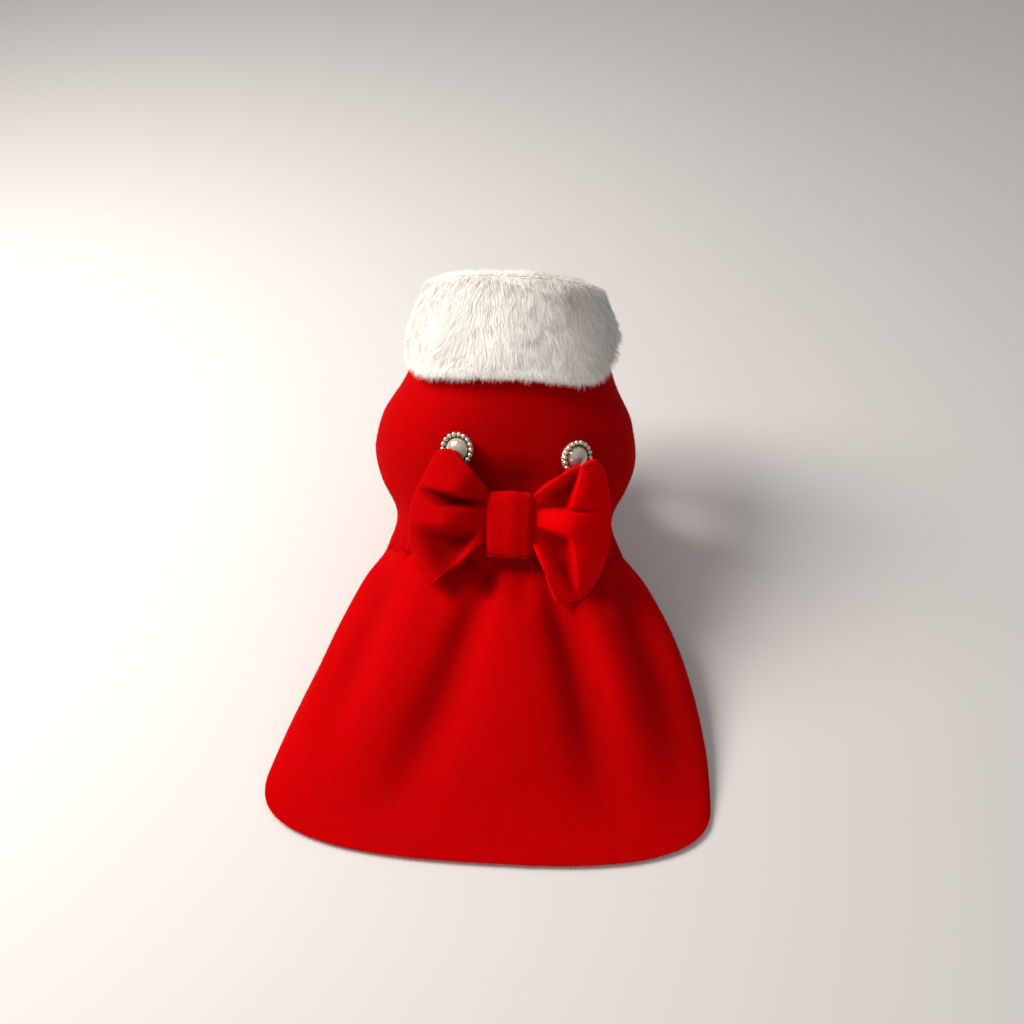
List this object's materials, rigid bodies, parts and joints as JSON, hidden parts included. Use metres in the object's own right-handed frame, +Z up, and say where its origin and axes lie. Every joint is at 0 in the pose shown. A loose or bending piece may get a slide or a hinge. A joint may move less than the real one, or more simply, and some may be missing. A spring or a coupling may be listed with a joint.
{
  "type": "dog coat and skirt",
  "caption": "Worn dog coat with a flared back skirt, a turned-down fur collar, a bow at the waist and pearl buttons; hollow, with open neck, armholes and belly.",
  "frame": {"origin": "middle of the neck opening, where the wearer's neck holds the coat", "axes": "+X towards the wearer's right, +Y the way the wearer faces, +Z up; the wearer sits, so the back slopes at about fifty degrees"},
  "size_m": [0.242, 0.321, 0.202],
  "materials": {
    "coat_cloth": "brushed wool coating, soft raised nap, matt",
    "fur": "short dense cream pile",
    "button_metal": "antiqued silver casting",
    "button_pearl": "pearl lacquer, glossy"
  },
  "bodies": {
    "root": {"bodice_back": "coat_cloth", "front_left": "coat_cloth", "front_right": "coat_cloth", "collar": "fur", "skirt": "coat_cloth", "bow_loop_left": "coat_cloth", "bow_loop_right": "coat_cloth", "bow_knot": "coat_cloth", "button_left_rim": "button_metal", "button_left_pearl": "button_pearl", "button_right_rim": "button_metal", "button_right_pearl": "button_pearl"}
  },
  "joints": []
}
